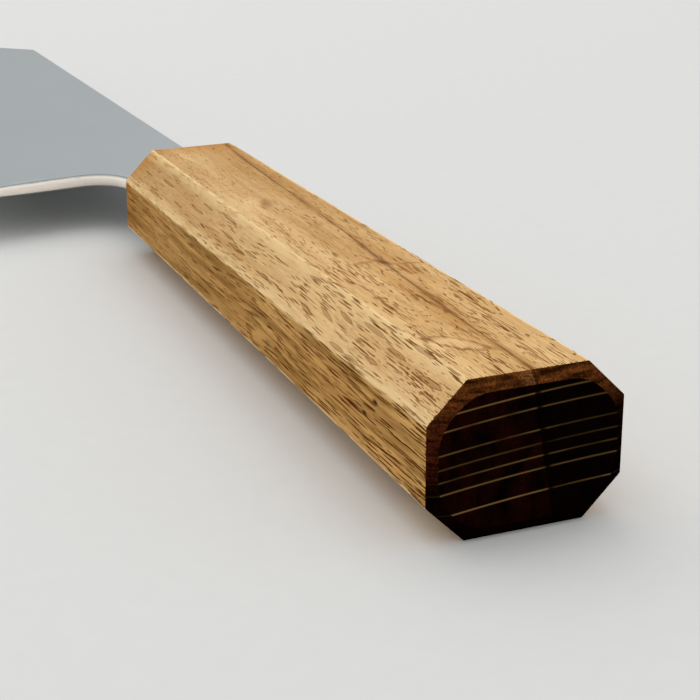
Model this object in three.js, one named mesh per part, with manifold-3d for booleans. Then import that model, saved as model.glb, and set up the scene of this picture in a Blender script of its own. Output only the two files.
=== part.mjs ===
// A bunka kitchen knife with a hidden tang in an eight-sided wooden handle, lying on its side.
// Millimetres. The knife is drawn in its own axes and then laid on the table:
// x = 0 is the handle's front face, +X runs to the tip, +Y to the cutting edge,
// and z = 0 is the middle of the blade's thickness.
import * as THREE from "three";
import { mergeVertices } from "three/addons/utils/BufferGeometryUtils.js";
import Module from "manifold-3d";

const { clamp, degToRad, lerp, smoothstep } = THREE.MathUtils;

// Handle: a tapered octagon, higher than it is thick, with both ends bevelled.
const GRIP_LENGTH = 120; // between the two end bevels
const BUTT_HEIGHT = 24.8;
const BUTT_THICKNESS = 19.3;
const FRONT_HEIGHT = 23.6;
const FRONT_THICKNESS = 17.6;
const FACET_LEG = 4.8; // each leg of the four 45 degree corner facets
const HANDLE_EDGE_RADIUS = 0.35;
const BUTT_BEVEL_DEPTH = 0.8;
const BUTT_INSET_ACROSS = 1.1; // how far the bevel draws the butt's face in, on the edge and spine sides
const BUTT_INSET_FLAT = 1.45; // and on the upper and lower sides
const BUTT_FACE_CORNER_RADIUS = 6;
const FRONT_BEVEL = 0.8;

// Blade profile.
const BLADE_LENGTH = 165; // heel to tip, along the handle
const HEEL_HEIGHT = 46.3; // spine line to cutting edge
const HEEL_SETBACK = 14.1; // handle to heel
const SPINE_ABOVE_CENTRE = 9;
const SPINE_FALL = degToRad(0.85);
const BELLY_START = 26; // from the heel, where the edge begins to rise
const TIP_RISE = 12.1;
const CLIP_ANGLE = degToRad(46);
const NECK_BELOW_CENTRE = 8.4;
const CHOIL_RADIUS = 6;
const CHOIL_LEAN = degToRad(6.4); // brings the heel nearer the handle than the choil's top

// Blade thickness and grind.
const SPINE_THICKNESS = 2.2; // at the handle
const SPINE_THICKNESS_TIP = 1.5;
const HEEL_POWER = 12; // at the heel the sides stay flat until close to the edge
const BLADE_POWER = 1.25; // further on they are nearly a straight wedge, which 1 would be
const GRIND_LENGTH = 60; // from the heel, over which the first section turns into the second
const EDGE_SHOULDER_THICKNESS = 0.36;
const EDGE_BEVEL_HEIGHT = 0.7;
const EDGE_THICKNESS = 0.06;
const SPINE_ROUNDING = 0.5; // radius along the spine and clip
const CHOIL_ROUNDING = 1; // radius along the choil and neck
const ROUNDING_LIMIT = 0.9; // the most of the half thickness that a rounding takes

// Tang, and the resin that beds it in the handle's slot.
const TANG_LENGTH = 82;
const TANG_HEIGHT = 11;
const TANG_END_HEIGHT = 7;
const TANG_END_THICKNESS = 1.7;
const RESIN_WALL = 0.6;
const RESIN_BEHIND_TANG = 6;
const BOND_GAP = 0.25; // between neighbours at every bonded face

// Facets.
const HANDLE_CORNER_STEPS = 5;
const SLOT_CORNER_STEPS = 6;
const SLOT_END_FLAT = 0.1; // left between the two arcs of the slot's round end
const BLADE_STATIONS = 36;
const SIDE_SHARES = [0, 0.3, 0.55, 0.7, 0.8, 0.87, 0.92, 0.96, 1]; // spine to shoulder
const ROUNDING_TILTS = [22.5, 45, 67.5].map(degToRad); // facets of a rounding, from the rim to the side
const ROUNDING_OVERCUT = 0.3; // how far a facet's cut runs on past both its edges
const CHOIL_ARC_STEPS = 12;
const CHOIL_STRAIGHT_STEPS = 12;
const SPINE_STEPS = 4;
const CLIP_STEPS = 12;
const CUT_MARGIN = 2; // how far a cutting solid reaches past what it cuts
const MERGE_DISTANCE = 1e-4;

const wasm = await Module();
wasm.setup();

// Places that follow from the sizes above.
const spineSlope = Math.tan(SPINE_FALL);
const clipSlope = Math.tan(CLIP_ANGLE);
const spineY = (x) => -SPINE_ABOVE_CENTRE + spineSlope * x;
const heel = new THREE.Vector2(HEEL_SETBACK, spineY(HEEL_SETBACK) + HEEL_HEIGHT);
const tip = new THREE.Vector2(HEEL_SETBACK + BLADE_LENGTH, heel.y - TIP_RISE);
const bellyX = HEEL_SETBACK + BELLY_START;
const cornerX = (tip.y - clipSlope * tip.x + SPINE_ABOVE_CENTRE) / (spineSlope - clipSlope);
const corner = new THREE.Vector2(cornerX, spineY(cornerX));
const choilDown = new THREE.Vector2(-Math.sin(CHOIL_LEAN), Math.cos(CHOIL_LEAN));
const choilBack = new THREE.Vector2(-Math.cos(CHOIL_LEAN), -Math.sin(CHOIL_LEAN));
const filletY = NECK_BELOW_CENTRE + CHOIL_RADIUS;
const choilXAtFillet = heel.x + (heel.y - filletY) * Math.tan(CHOIL_LEAN);
const filletCentre = new THREE.Vector2(choilXAtFillet - CHOIL_RADIUS / Math.cos(CHOIL_LEAN), filletY);
const slotRoom = RESIN_WALL + 2 * BOND_GAP;
const slotHeight = TANG_HEIGHT + 2 * slotRoom;
const slotThickness = SPINE_THICKNESS + 2 * slotRoom;
const slotBack = -(TANG_LENGTH + RESIN_BEHIND_TANG);
const gripBack = -(FRONT_BEVEL + GRIP_LENGTH);

// The cutting edge: straight from the heel, then a parabola up to the tip.
function edgeY(x) {
  const along = Math.max(0, (x - bellyX) / (tip.x - bellyX));
  return heel.y - TIP_RISE * along * along;
}

// Half the thickness at the spine: the steel thins towards the tip and towards the tang's end.
function spineHalf(x) {
  const end = x > 0 ? SPINE_THICKNESS_TIP : TANG_END_THICKNESS;
  const reach = x > 0 ? tip.x : -TANG_LENGTH;
  return lerp(SPINE_THICKNESS, end, x / reach) / 2;
}

// Half the thickness at a share of the way from the spine to the shoulder of the cutting bevel.
// A high power keeps the side flat and turns it in late, and a low one thins it all the way.
function halfAtShare(x, share) {
  const reached = smoothstep(x, heel.x, heel.x + GRIND_LENGTH);
  const power = 1 / lerp(1 / HEEL_POWER, 1 / BLADE_POWER, reached);
  return lerp(spineHalf(x), EDGE_SHOULDER_THICKNESS / 2, share ** power);
}

function halfThickness(x, y) {
  const shoulder = edgeY(x) - EDGE_BEVEL_HEIGHT;
  return halfAtShare(x, clamp((y - spineY(x)) / (shoulder - spineY(x)), 0, 1));
}

function solidOf(geometry) {
  const bare = geometry.clone();
  bare.deleteAttribute("normal");
  bare.deleteAttribute("uv");
  const merged = mergeVertices(bare, MERGE_DISTANCE);
  const mesh = new wasm.Mesh({
    numProp: 3,
    vertProperties: merged.attributes.position.array,
    triVerts: new Uint32Array(merged.index.array),
  });
  return new wasm.Manifold(mesh);
}

function geometryOf(solid) {
  const mesh = solid.getMesh();
  const geometry = new THREE.BufferGeometry();
  geometry.setAttribute("position", new THREE.BufferAttribute(mesh.vertProperties, 3));
  geometry.setIndex(new THREE.BufferAttribute(mesh.triVerts, 1));
  geometry.computeVertexNormals();
  return geometry;
}

// A closed skin through convex sections with the same number of points. Each section runs
// anticlockwise as seen from the last one.
function loft(sections) {
  const count = sections[0].length;
  const lastStart = (sections.length - 1) * count;
  const index = [];
  for (let start = 0; start < lastStart; start += count) {
    for (let j = 0; j < count; j++) {
      const a = start + j;
      const b = start + ((j + 1) % count);
      index.push(a, b, a + count);
      index.push(b, b + count, a + count);
    }
  }
  for (let j = 1; j < count - 1; j++) {
    index.push(0, j + 1, j);
    index.push(lastStart, lastStart + j, lastStart + j + 1);
  }
  const geometry = new THREE.BufferGeometry().setFromPoints(sections.flat());
  geometry.setIndex(index);
  return solidOf(geometry);
}

// A convex outline in the YZ plane at x, with each corner turned into an arc.
function roundedSection(x, corners, radius, steps) {
  const points = [];
  corners.forEach((at, i) => {
    const back = corners.at(i - 1).clone().sub(at).normalize();
    const ahead = corners[(i + 1) % corners.length].clone().sub(at).normalize();
    const halfAngle = Math.acos(clamp(back.dot(ahead), -1, 1)) / 2;
    const inward = back.clone().add(ahead).normalize();
    const centre = at.clone().addScaledVector(inward, radius / Math.sin(halfAngle));
    const arcStart = at.clone().addScaledVector(back, radius / Math.tan(halfAngle));
    const turn = Math.PI - 2 * halfAngle;
    for (let s = 0; s <= steps; s++) {
      const p = arcStart.clone().rotateAround(centre, (turn * s) / steps);
      points.push(new THREE.Vector3(x, p.x, p.y));
    }
  });
  return points;
}

// The eight corners of the handle's section, drawn in across Y and across Z.
function octagon(height, thickness, insetY, insetZ) {
  const y = height / 2 - insetY;
  const z = thickness / 2 - insetZ;
  const leg = FACET_LEG - (insetY + insetZ) * (1 - Math.SQRT1_2);
  const quarter = [new THREE.Vector2(y, z - leg), new THREE.Vector2(y - leg, z)];
  const mirrored = quarter.map((p) => new THREE.Vector2(-p.x, p.y)).reverse();
  const upper = [...quarter, ...mirrored];
  const lower = upper.map((p) => p.clone().negate());
  return [...upper, ...lower];
}

function rectangle(height, thickness) {
  const y = height / 2;
  const z = thickness / 2;
  return [
    new THREE.Vector2(y, -z),
    new THREE.Vector2(y, z),
    new THREE.Vector2(-y, z),
    new THREE.Vector2(-y, -z),
  ];
}

// A bar along X with round ends to its section: the slot in the handle, or the resin that fills it.
function slotBar(fromX, toX, height, thickness) {
  const corners = rectangle(height, thickness);
  const radius = (thickness - SLOT_END_FLAT) / 2;
  return loft([fromX, toX].map((x) => roundedSection(x, corners, radius, SLOT_CORNER_STEPS)));
}

// The tapering tang, larger by one bond gap all round, as the hollow that it leaves in the resin.
function tangHollow() {
  const section = (x, height, thickness) => {
    const outline = rectangle(height + 2 * BOND_GAP, thickness + 2 * BOND_GAP);
    return outline.map((p) => new THREE.Vector3(x, p.x, p.y));
  };
  return loft([
    section(-TANG_LENGTH - BOND_GAP, TANG_END_HEIGHT, TANG_END_THICKNESS),
    section(0, TANG_HEIGHT, SPINE_THICKNESS),
    section(CUT_MARGIN, TANG_HEIGHT, SPINE_THICKNESS),
  ]);
}

// Handle: four octagons give the grip and its end bevels, and a slot from the front takes the tang.
function handleSolid() {
  const ring = (x, corners, radius) => roundedSection(x, corners, radius, HANDLE_CORNER_STEPS);
  const buttFace = octagon(BUTT_HEIGHT, BUTT_THICKNESS, BUTT_INSET_ACROSS, BUTT_INSET_FLAT);
  const frontFace = octagon(FRONT_HEIGHT, FRONT_THICKNESS, FRONT_BEVEL, FRONT_BEVEL);
  const grip = loft([
    ring(gripBack - BUTT_BEVEL_DEPTH, buttFace, BUTT_FACE_CORNER_RADIUS),
    ring(gripBack, octagon(BUTT_HEIGHT, BUTT_THICKNESS, 0, 0), HANDLE_EDGE_RADIUS),
    ring(-FRONT_BEVEL, octagon(FRONT_HEIGHT, FRONT_THICKNESS, 0, 0), HANDLE_EDGE_RADIUS),
    ring(0, frontFace, HANDLE_EDGE_RADIUS),
  ]);
  return grip.subtract(slotBar(slotBack, CUT_MARGIN, slotHeight, slotThickness));
}

// Resin: fills the slot to just under the handle's front face, round the hollow of the tang.
function resinSolid() {
  const height = slotHeight - 2 * BOND_GAP;
  const thickness = slotThickness - 2 * BOND_GAP;
  const fill = slotBar(slotBack + BOND_GAP, -BOND_GAP, height, thickness);
  return fill.subtract(tangHollow());
}

// The ground steel: flat tang and neck, then sides that thin to the cutting bevel.
function groundSteel() {
  const section = (x) => {
    const shoulder = edgeY(x) - EDGE_BEVEL_HEIGHT;
    const side = SIDE_SHARES.map((share) => [lerp(spineY(x), shoulder, share), halfAtShare(x, share)]);
    const pastSpine = [spineY(x) - CUT_MARGIN, spineHalf(x)];
    const outline = [pastSpine, ...side, [edgeY(x), EDGE_THICKNESS / 2]];
    const under = outline.map(([y, z]) => new THREE.Vector3(x, y, -z));
    const over = outline.map(([y, z]) => new THREE.Vector3(x, y, z)).reverse();
    return [...under, ...over];
  };
  const stations = [-TANG_LENGTH - CUT_MARGIN, 0];
  for (let i = 0; i <= BLADE_STATIONS; i++) {
    stations.push(lerp(heel.x, tip.x, i / BLADE_STATIONS));
  }
  stations.push(tip.x + CUT_MARGIN);
  return loft(stations.map(section));
}

// Profile of the blade, neck and tang. It runs past the cutting edge, which the grind makes.
function profilePlate() {
  const tangHalf = TANG_HEIGHT / 2;
  const tangEndHalf = TANG_END_HEIGHT / 2;
  const pastTip = tip.clone().add(new THREE.Vector2(1, clipSlope).multiplyScalar(CUT_MARGIN));
  const pastHeel = heel.clone().addScaledVector(choilDown, CUT_MARGIN);
  const shape = new THREE.Shape();
  shape.moveTo(-TANG_LENGTH, -tangEndHalf);
  shape.lineTo(0, -tangHalf);
  shape.lineTo(BOND_GAP, -tangHalf);
  shape.lineTo(BOND_GAP, spineY(BOND_GAP));
  shape.lineTo(corner.x, corner.y);
  shape.lineTo(pastTip.x, pastTip.y);
  shape.lineTo(pastTip.x, pastHeel.y);
  shape.lineTo(pastHeel.x, pastHeel.y);
  shape.absarc(filletCentre.x, filletCentre.y, CHOIL_RADIUS, CHOIL_LEAN, -Math.PI / 2, true);
  shape.lineTo(BOND_GAP, NECK_BELOW_CENTRE);
  shape.lineTo(BOND_GAP, tangHalf);
  shape.lineTo(0, tangHalf);
  shape.lineTo(-TANG_LENGTH, tangEndHalf);
  shape.closePath();
  const plate = new THREE.ExtrudeGeometry(shape, {
    depth: 2 * SPINE_THICKNESS,
    bevelEnabled: false,
    curveSegments: CHOIL_ARC_STEPS / 2, // an arc gets twice as many segments
  });
  plate.translate(0, 0, -SPINE_THICKNESS);
  return solidOf(plate);
}

// A bar that cuts one facet of a rounding on one side of the blade, along a run of its outline.
// Each step of the run has a point on the outline and the direction that leads out of the steel.
// The facet touches the rounding's arc where the arc has turned by tilt from the rim.
function roundingBar(run, side, radius, tilt) {
  const inwardShare = 1 - (1 - Math.sin(tilt)) / Math.cos(tilt);
  const downShare = 1 - (1 - Math.cos(tilt)) / Math.sin(tilt);
  const steepness = downShare / inwardShare;
  const sections = run.map(({ at, out }) => {
    const half = halfThickness(at.x, at.y);
    const arc = Math.min(radius, ROUNDING_LIMIT * half);
    const point = (outward, up) =>
      new THREE.Vector3(at.x + out.x * outward, at.y + out.y * outward, side * up);
    const top = half + ROUNDING_OVERCUT;
    const triangle = [
      point(ROUNDING_OVERCUT, top),
      point(ROUNDING_OVERCUT, half - downShare * arc - ROUNDING_OVERCUT * steepness),
      point(-inwardShare * arc - ROUNDING_OVERCUT / steepness, top),
    ];
    return side > 0 ? triangle : triangle.reverse();
  });
  return loft(sections);
}

function straightRun(from, to, steps) {
  const along = to.clone().sub(from);
  const out = new THREE.Vector2(along.y, -along.x).normalize();
  return Array.from({ length: steps + 1 }, (_, i) => ({ at: from.clone().lerp(to, i / steps), out }));
}

// From the heel up the choil, round its fillet and back along the neck.
function choilRun() {
  const choilTop = filletCentre.clone().addScaledVector(choilBack, -CHOIL_RADIUS);
  const run = straightRun(heel, choilTop, CHOIL_STRAIGHT_STEPS);
  for (let i = 1; i <= CHOIL_ARC_STEPS; i++) {
    const angle = lerp(CHOIL_LEAN, -Math.PI / 2, i / CHOIL_ARC_STEPS);
    const radial = new THREE.Vector2(Math.cos(angle), Math.sin(angle));
    const at = filletCentre.clone().addScaledVector(radial, CHOIL_RADIUS);
    run.push({ at, out: radial.negate() });
  }
  const pastShoulder = new THREE.Vector2(-CUT_MARGIN, NECK_BELOW_CENTRE);
  run.push({ at: pastShoulder, out: run.at(-1).out });
  return run;
}

// Blade: the ground steel trimmed to its profile, then rounded wherever a finger can meet it.
function bladeSolid() {
  const pastShoulder = new THREE.Vector2(-CUT_MARGIN, spineY(-CUT_MARGIN));
  const runs = [
    { run: straightRun(pastShoulder, corner, SPINE_STEPS), radius: SPINE_ROUNDING },
    { run: straightRun(corner, tip, CLIP_STEPS), radius: SPINE_ROUNDING },
    { run: choilRun(), radius: CHOIL_ROUNDING },
  ];
  let blade = groundSteel().intersect(profilePlate());
  for (const { run, radius } of runs) {
    for (const tilt of ROUNDING_TILTS) {
      blade = blade.subtract(roundingBar(run, 1, radius, tilt));
      blade = blade.subtract(roundingBar(run, -1, radius, tilt));
    }
  }
  return blade;
}

function piece(name, solid, look) {
  const mesh = new THREE.Mesh(geometryOf(solid), new THREE.MeshStandardMaterial(look));
  mesh.name = name;
  return mesh;
}

const satinSteel = { color: 0xb4babd, roughness: 0.35, metalness: 1 };
const oiledOak = { color: 0xc4965c, roughness: 0.6, metalness: 0 };
const darkEpoxy = { color: 0x3b2a1c, roughness: 0.4, metalness: 0 };

const knife = new THREE.Group();
knife.add(piece("blade", bladeSolid(), satinSteel));
knife.add(piece("handle", handleSolid(), oiledOak));
knife.add(piece("tang_resin", resinSolid(), darkEpoxy));

// Laid down: the handle's lower side is level, and the middle of that side is the origin.
const restX = gripBack / 2 - FRONT_BEVEL / 2;
const restZ = -(BUTT_THICKNESS + FRONT_THICKNESS) / 4;
knife.rotation.y = Math.atan((BUTT_THICKNESS - FRONT_THICKNESS) / 2 / GRIP_LENGTH);
knife.position.set(restX, 0, restZ).applyEuler(knife.rotation).negate();

const lying = new THREE.Group();
lying.add(knife);

export default lying;
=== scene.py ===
"""Looks of a bunka knife: satin blade, one-piece oiled oak handle and the resin round its tang.

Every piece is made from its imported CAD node, in metres, in the same frame:
+X runs to the tip, +Y to the cutting edge and +Z up from the surface that the handle lies on.
"""

import math

import bmesh
import bpy
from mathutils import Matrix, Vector


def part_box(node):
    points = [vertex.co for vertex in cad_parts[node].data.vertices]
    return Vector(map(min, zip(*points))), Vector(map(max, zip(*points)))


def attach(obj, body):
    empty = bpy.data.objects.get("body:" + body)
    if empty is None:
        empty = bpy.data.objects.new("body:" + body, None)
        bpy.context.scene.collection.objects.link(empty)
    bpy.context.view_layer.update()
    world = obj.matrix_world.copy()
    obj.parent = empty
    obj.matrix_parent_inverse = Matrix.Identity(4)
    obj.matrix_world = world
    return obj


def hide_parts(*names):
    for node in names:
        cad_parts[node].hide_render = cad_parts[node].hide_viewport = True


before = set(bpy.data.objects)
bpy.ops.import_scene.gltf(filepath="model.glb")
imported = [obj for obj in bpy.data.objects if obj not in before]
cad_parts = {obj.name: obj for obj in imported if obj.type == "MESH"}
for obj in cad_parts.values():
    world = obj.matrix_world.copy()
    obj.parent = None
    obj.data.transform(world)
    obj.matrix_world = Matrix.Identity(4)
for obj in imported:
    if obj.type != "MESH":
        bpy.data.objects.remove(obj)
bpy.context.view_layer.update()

bl_info = {
    "name": "Bunka knife looks",
    "version": (1, 0, 0),
    "blender": (4, 5, 0),
    "location": "3D View > Sidebar > Knife",
    "description": "Finishes the blade, handle and resin of a bunka knife and sets its studio",
    "category": "Object",
}

MM = 0.001

# Sockets and settings of a colour Mix node, which has one set of sockets for each kind of data.
MIX_A = 6
MIX_B = 7
COLOUR_MIX = {"out": 2, "data_type": "RGBA"}

# Mesh making.
WELD = 0.0005 * MM
FLAT_ANGLE = math.radians(0.02)
STEEL_SHARP_ANGLE = math.radians(24)
WOOD_SHARP_ANGLE = math.radians(14)
ROUND_STEPS = 3
ROUND_PROFILE = 0.5

# The blade's steels in the order of its materials, and how level its rounded and honed faces lie at most.
SATIN, ROUNDED, HONED = range(3)
ROUNDED_BELOW = 0.97
HONED_BELOW = 0.9805

# The handle's cuts in the order of its materials, and how far end grain looks along it at least.
LONG_GRAIN, END_GRAIN = range(2)
END_GRAIN_ABOVE = 0.4

# Stage sizes, in metres.
FLOOR_HALF_WIDTH = 6.0
CAMERA_NEAR = 1 * MM

# How deep the marks in each surface are.
PORE_DEPTH = 0.06 * MM
END_PORE_DEPTH = 0.08 * MM
HAIRLINE_DEPTH = 0.02 * MM

# The handle's grain is measured from the middle of its butt, in millimetres.
HANDLE_LOW, HANDLE_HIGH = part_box("handle")
GRAIN_ORIGIN = Vector((HANDLE_LOW.x, 0, HANDLE_HIGH.z / 2)) / MM
ENDLESS = 1e6

# The handle's section: its corner facets, and what each side loses per millimetre along.
FACET_LEG = 4.8
TAPER_ACROSS = 0.005
TAPER_UP = 0.0071

# Sides by an axis, and by how far a surface faces along it where a side begins and where it is full.
UPRIGHT = ("Y", 0.8, 0.95)
SLANTED_OR_UPRIGHT = ("Y", 0.2, 0.6)
LEVEL = ("Z", 0.8, 0.95)
FLAT_LEVEL = ("Z", 0.9, 0.98)
SQUARE_END = ("X", 0.975, 0.995)
# Where the rounded steel turns up, its painted reflection fades into the satin grey.
TURNED_OVER = ("Z", 0.65, ROUNDED_BELOW)

# How the fibres wander: size of the waves along, across and up, how far they reach, and their detail.
WAVING = {"size": (45, 14, 14), "reach": (0, 1.8, 1.8), "detail": 1.0}
FRAYED = {"size": (1.6, 0.6, 0.6), "reach": (0.5, 0.14, 0.14), "detail": 2.0}
RAGGED = {"size": (2.5, 0.9, 0.9), "reach": (1.6, 0.8, 0.8), "detail": 2.0}
SPLINTERED = {"size": (1.5, 0.3, 0.3), "reach": (1.8, 0, 0), "detail": 2.0}

# Towards the front the pores get finer and the wood darker, and beside the blade the wood is warmer.
FRONT_STRETCH = (30, 90)
FRONT_PORES = 0.65
FRONT_LIGHT = 0.88
WARM_STRETCH = (114, 121)

# Rays: thin sheets of light wood that lie almost level. Height at the middle of the butt, and strength.
RAYS = ((-4.9, 1.0), (-2.15, 0.75), (-0.6, 0.6), (0.9, 0.3), (2.6, 0.55), (5.3, 0.65), (7.1, 0.75))
RAY_HALF_WIDTH = 0.13
RAY_TILT = 0.075
RAY_BOW = 0.0022
RAY_SPAN = 10.0

# Ray lines are broken at the growth line and fainter past it: distance from it and share that is left.
RAY_BREAK = ((-0.7, 0.65), (-0.3, 0.1), (0.1, 0.1), (0.4, 1.0))
RAY_BREAK_SPAN = 2.0

# Spindles, the rays cut across on the sides: how pointed they are, and their share of a spacing.
SPINDLE_POINT = 1.5
SPINDLE_SIZES = (0.01, 0.5)

# Pores: how many contours of random hills the short ones follow, and how soft their outlines are.
SPECK_CONTOURS = 9.0
DASH_SOFTNESS = 0.09

# The dark growth line: where it starts on the butt, and how it drifts along and leans downwards.
GROWTH_START = -0.15
GROWTH_DRIFT = -0.046
GROWTH_LEAN = 0.18

# Its soft band and its dark core: half width, size of the stretches that show, and their range of shade.
GROWTH_PARTS = ((0.8, (8, 3, 3), 0.35, 0.6), (0.2, (6, 3, 3), 0.3, 0.5))

# Share of the half width over which each of them is full.
GROWTH_FULL = 0.3

# Growth bands beside that line: distance from it and share of the deeper wood.
GROWTH_BANDS = (
    (-12, 0.3), (-6, 0.1), (-2.5, 0.2), (0.5, 0.35), (4, 0.25), (7, 0.05), (10, 0), (13, 0.2), (16, 0.3))
BAND_SPAN = 20.0

# What the bevel round the butt has beside the growth line: a darker notch, and a patch of the soft band.
RIM_NOTCH = ((-0.6, 1.0), (-0.35, 0.6), (-0.15, 0.6), (0.0, 1.0))
RIM_PATCH = ((-0.1, 0.0), (0.1, 0.26), (0.9, 0.2), (2.2, 0.0))
RIM_SPAN = 3.0

# By how far a side faces across: its share of the deeper wood, and whether it is a slanted one.
SIDE_TONES = ((0.0, 0.25), (0.6, 0.1), (0.8, 0.1), (1.0, 0.0))
SLANTED_SIDES = ((0.5, 0.0), (0.6, 1.0), (0.8, 1.0), (0.9, 0.0))
FACING_SPAN = 1.0

# Share of the golden tint on the upright sides.
UPRIGHT_GOLD = 0.7

# Fibres, coarse and fine: size along, across and up, and how dark and how light they are.
FIBRES = (((9, 0.25, 0.25), 0.86, 1.1), ((1.6, 0.14, 0.14), 0.84, 1.12))

# Oval marks: middle along, across and up, turn from the grain in degrees, and half sizes.
# A pale fleck where a ray comes to the upper side, and a softer pale patch near the front.
FLECKS = (((12.0, 3.4, 9.4), 37, (3.9, 1.5, ENDLESS)),)
PALE_PATCHES = (((80.8, 3.7, 8.5), -20, (4.0, 1.6, 2.0)),)

# Two pin knots in the left side.
PIN_KNOTS = (
    ((14.7, 12.3, 2.6), 0, (0.95, 1.0, 0.38)),
    ((17.9, 12.3, 0.1), 0, (0.85, 1.0, 0.34)),
)

# A knot on the growth line, and brown fibres that bend round it, the fleck and the pale patch.
GROWTH_KNOT = (((44.9, -2.2, 9.0), 22, (1.9, 0.75, 2.0)),)
BENT_FIBRES = (
    ((45.6, 0.3, 9.0), 100, (2.6, 0.7, 2.0)),
    ((43.2, -5.0, 9.0), 75, (2.6, 0.5, 2.0)),
    ((14.6, 5.6, 9.4), 60, (1.5, 0.9, 2.0)),
    ((9.2, 0.6, 9.4), 30, (2.2, 0.7, 2.0)),
    ((80.0, 1.5, 8.5), -19, (3.4, 1.1, 2.0)),
)

# Where short pores crowd together on the slanted left side near the butt.
CROWDED_PORES = (
    ((7.0, 10.4, 6.9), 0, (13.0, 3.6, 3.6)),
    ((23.0, 10.6, 6.6), 0, (10.0, 1.6, 1.6)),
)

# Single vessels that run on for a long way: one in the upper side and two beside the left edge.
LONG_VESSELS = (
    ((4.3, -3.7, 9.6), -6, (3.7, 0.11, 2.0)),
    ((4.8, 12.4, 4.58), 0, (3.9, 2.0, 0.1)),
    ((4.8, 12.2, 5.08), 0, (3.7, 2.0, 0.1)),
)

# Rays cut across on the slanted left side near the butt: middle along and across that flat side, turn
# and half sizes. Their third numbers play no part.
RAY_LENSES = (
    ((6.2, 1.3, 0), 3, (2.8, 0.36, 1)),
    ((12.0, -1.05, 0), 0, (3.2, 0.24, 1)),
    ((15.6, 1.0, 0), 0, (2.3, 0.28, 1)),
    ((19.2, 3.5, 0), 0, (1.9, 0.24, 1)),
    ((22.8, 4.9, 0), 0, (2.3, 0.25, 1)),
    ((23.1, 0.4, 0), 0, (3.4, 0.25, 1)),
    ((27.5, 4.9, 0), 0, (2.2, 0.25, 1)),
    ((30.6, 1.3, 0), -5, (2.2, 0.27, 1)),
    ((35.1, 2.5, 0), -7, (2.5, 0.24, 1)),
    ((40.2, 3.6, 0), -5, (2.4, 0.26, 1)),
    ((43.6, -0.1, 0), 0, (1.9, 0.24, 1)),
)

# Where spindles take over from these lenses, along the handle.
PAST_LENSES = (38, 50)


def linear(code):
    """Linear RGBA of an sRGB hex colour."""
    channels = [int(code[i:i + 2], 16) / 255 for i in (1, 3, 5)]
    decoded = [c / 12.92 if c <= 0.04045 else ((c + 0.055) / 1.055) ** 2.4 for c in channels]
    return (*decoded, 1.0)


def colour(name, description, code):
    """A colour property that starts at an sRGB hex value."""
    return bpy.props.FloatVectorProperty(
        name=name, description=description, subtype="COLOR", size=4, min=0, max=1, default=linear(code))


def length(name, description, millimetres):
    """A length property that starts at a value in millimetres."""
    return bpy.props.FloatProperty(
        name=name, description=description, unit="LENGTH", precision=5, min=0, default=millimetres * MM)


class BladeLooks(bpy.types.PropertyGroup):
    """Sizes and colours of the blade."""

    satin: colour("Satin steel", "Steel of the ground sides", "#aab0b0")
    # Near white: partly the polished steel, partly a painted reflection.
    rounded: colour("Rounded steel", "Steel of the spine, clip and choil", "#fffaf4")
    honed: colour("Honed steel", "Steel of the cutting bevel", "#d2d4d4")
    hairline: length("Hairline spacing", "Gap between satin lines, drawn coarse enough to show", 0.3)


class HandleLooks(bpy.types.PropertyGroup):
    """Sizes and colours of the handle."""

    pale: colour("Pale wood", "Lightest fibres of the oiled oak", "#e9c28a")
    deep: colour("Deep wood", "Darker fibres of the oiled oak", "#b98342")
    gold: colour("Golden wood", "Tint of the upright sides", "#dba352")
    spindle: colour("Ray spindles", "Rays cut across on the sides", "#80561f")
    vessel: colour("Vessels", "Pores of the slanted and upper sides", "#7c4a1a")
    stroke: colour("Strokes", "Pores of the upright sides", "#5a2c0a")
    fleck: colour("Ray flecks", "Rays that come to the surface", "#e6c08a")
    band: colour("Growth band", "Soft band beside the dark growth line", "#9a6c3e")
    growth: colour("Growth line", "Dark line along the handle", "#6b4724")
    knot: colour("Knots", "Cores of the pin knots", "#38160a")
    # Pale edges: partly rubbed pale, partly a painted highlight along the edges.
    rubbed_and_highlight: colour("Worn edges", "Edges rubbed pale between the sides", "#efce96")
    front: colour("Front edge", "Warmer wood beside the blade", "#b8742c")
    # Near black: oil-dark end grain with painted shade on top of it.
    end_grain_and_painted_shade: colour("End grain", "Oil-soaked butt", "#040201")
    end_red: colour("End grain bands", "Warmer growth bands of the butt", "#180502")
    rim: colour("Upper bevel", "Upper part of the bevel round the butt", "#4c280e")
    # Darker colour of the bevel below its top: painted shade.
    rim_in_painted_shade: colour("Lower bevel", "Lower part of the bevel round the butt", "#3a1609")
    ray: colour("Ray lines", "Rays that cross the butt", "#8f6c3e")
    spindle_along: length("Spindle spacing along", "Room for one ray spindle along the grain", 10.0)
    spindle_across: length("Spindle spacing across", "Room for one ray spindle across the grain", 0.45)
    vessel_along: length("Vessel spacing along", "Room for one stroke of pores along the grain", 6.0)
    vessel_across: length("Vessel spacing across", "Room for one stroke of pores across the grain", 0.25)
    dash_along: length("Dash spacing along", "Room along the grain for one vessel cut at a slant", 4.6)
    dash_across: length("Dash spacing across", "Room across the grain for such a vessel", 0.21)
    speck_along: length("Speck spacing along", "Room for one short pore along the grain", 2.1)
    speck_across: length("Speck spacing across", "Room for one short pore across the grain", 0.25)
    rounding: length("Edge rounding", "Width of the rounding on the end bevels", 0.12)


class ResinLooks(bpy.types.PropertyGroup):
    """Sizes and colours of the resin."""

    body: colour("Epoxy", "Dark epoxy round the tang", "#2c1c12")
    bond: length("Bond", "How far the resin swells to meet the wood and the steel", 0.23)


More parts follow.
